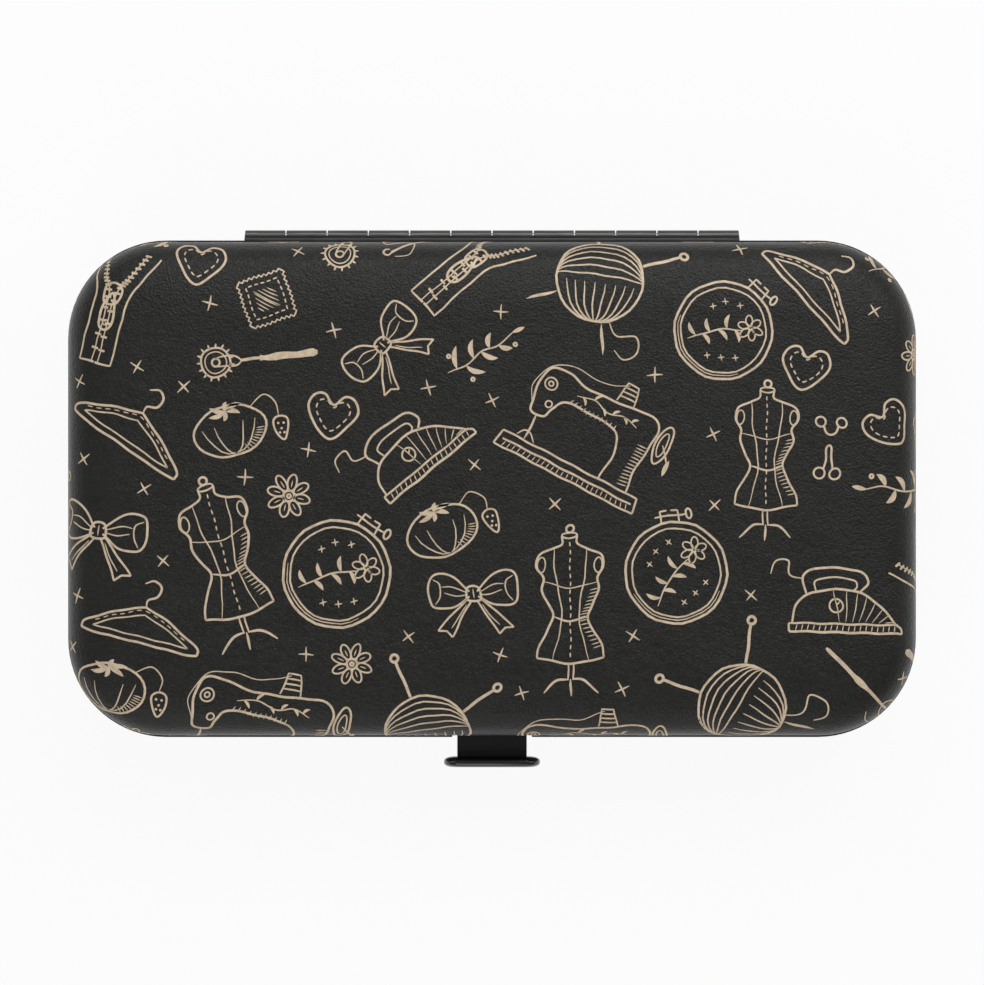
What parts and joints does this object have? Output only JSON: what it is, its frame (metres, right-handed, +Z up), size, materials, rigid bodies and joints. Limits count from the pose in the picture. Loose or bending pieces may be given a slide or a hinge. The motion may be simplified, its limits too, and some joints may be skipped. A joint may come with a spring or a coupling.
{
  "type": "sewing kit case",
  "caption": "Hinged two-half sewing kit case in black printed leatherette with metal rims, piano hinge, push latch, pocketed insert and tools.",
  "frame": {"origin": "middle of the flat underside that the closed case rests on", "axes": "+X along the hinge, to the right seen from the front; +Y from the latch to the hinge; +Z up"},
  "size_m": [0.17, 0.1082, 0.035],
  "materials": {
    "leatherette": "black grained leatherette with a matte pale gold print",
    "padding_foam": "soft white foam sheet",
    "board": "grey pressed board",
    "velvet": "short black velvet",
    "frame_metal": "satin gunmetal plating",
    "hinge_metal": "satin gunmetal plating",
    "pin_steel": "drawn steel wire",
    "latch_steel": "matte black plating",
    "tab_black": "glossy black enamel",
    "housing_metal": "satin gunmetal plating",
    "spring_steel": "spring wire",
    "insert_foam": "foam block with a short black flock",
    "spool_plastic": "moulded white plastic",
    "thread": "wound polyester thread",
    "thimble_steel": "nickel plated, dimpled",
    "clear_plastic": "clear moulded plastic",
    "tape_cloth": "coated yellow tape",
    "scissor_steel": "ground steel",
    "scissor_plastic": "moulded black plastic",
    "button_plastic": "polished plastic",
    "elastic": "woven black elastic",
    "ripper_plastic": "moulded pale gold plastic",
    "tool_steel": "polished steel",
    "felt": "pressed felt"
  },
  "bodies": {
    "base": {"base_cover": "leatherette", "base_padding": "padding_foam", "base_shell": "board", "base_frame": "frame_metal", "hinge_leaf_base": "hinge_metal", "hinge_pin": "pin_steel", "latch_housing": "housing_metal", "latch_housing_top": "housing_metal", "latch_springs": "spring_steel", "tool_insert": "insert_foam", "thread_spools": "spool_plastic", "thread_windings": "thread", "thimble": "thimble_steel", "pin_box": "clear_plastic", "pin_box_lid": "clear_plastic", "tape_measure": "tape_cloth", "scissor_blade_lower": "scissor_steel", "scissor_blade_upper": "scissor_steel", "scissor_grips": "scissor_plastic", "scissor_screw": "scissor_steel", "buttons": "button_plastic"},
    "lid": {"lid_cover": "leatherette", "lid_padding": "padding_foam", "lid_shell": "board", "lid_lining": "velvet", "lid_frame": "frame_metal", "hinge_leaf_lid": "hinge_metal", "latch_hook": "latch_steel", "tool_panel": "velvet", "seam_ripper_handle": "ripper_plastic", "seam_ripper_blade": "tool_steel", "seam_ripper_cap": "clear_plastic", "tweezers": "tool_steel", "elastic_bands": "elastic", "needle_card": "felt"},
    "latch": {"latch_plate": "latch_steel", "latch_tab": "tab_black"}
  },
  "joints": [
    {"name": "lid_hinge", "type": "hinge", "parent": "base", "child": "lid", "pos_m": [0, 0.051, 0.0175], "axis": [-1, 0, 0], "range_deg": [0, 180]},
    {"name": "latch_slide", "type": "slide", "parent": "base", "child": "latch", "axis": [0, 1, 0], "range_m": [0, 0.0022], "stiffness_N_per_m": 400, "springref_m": -0.003, "deforming": ["latch_springs"]}
  ]
}
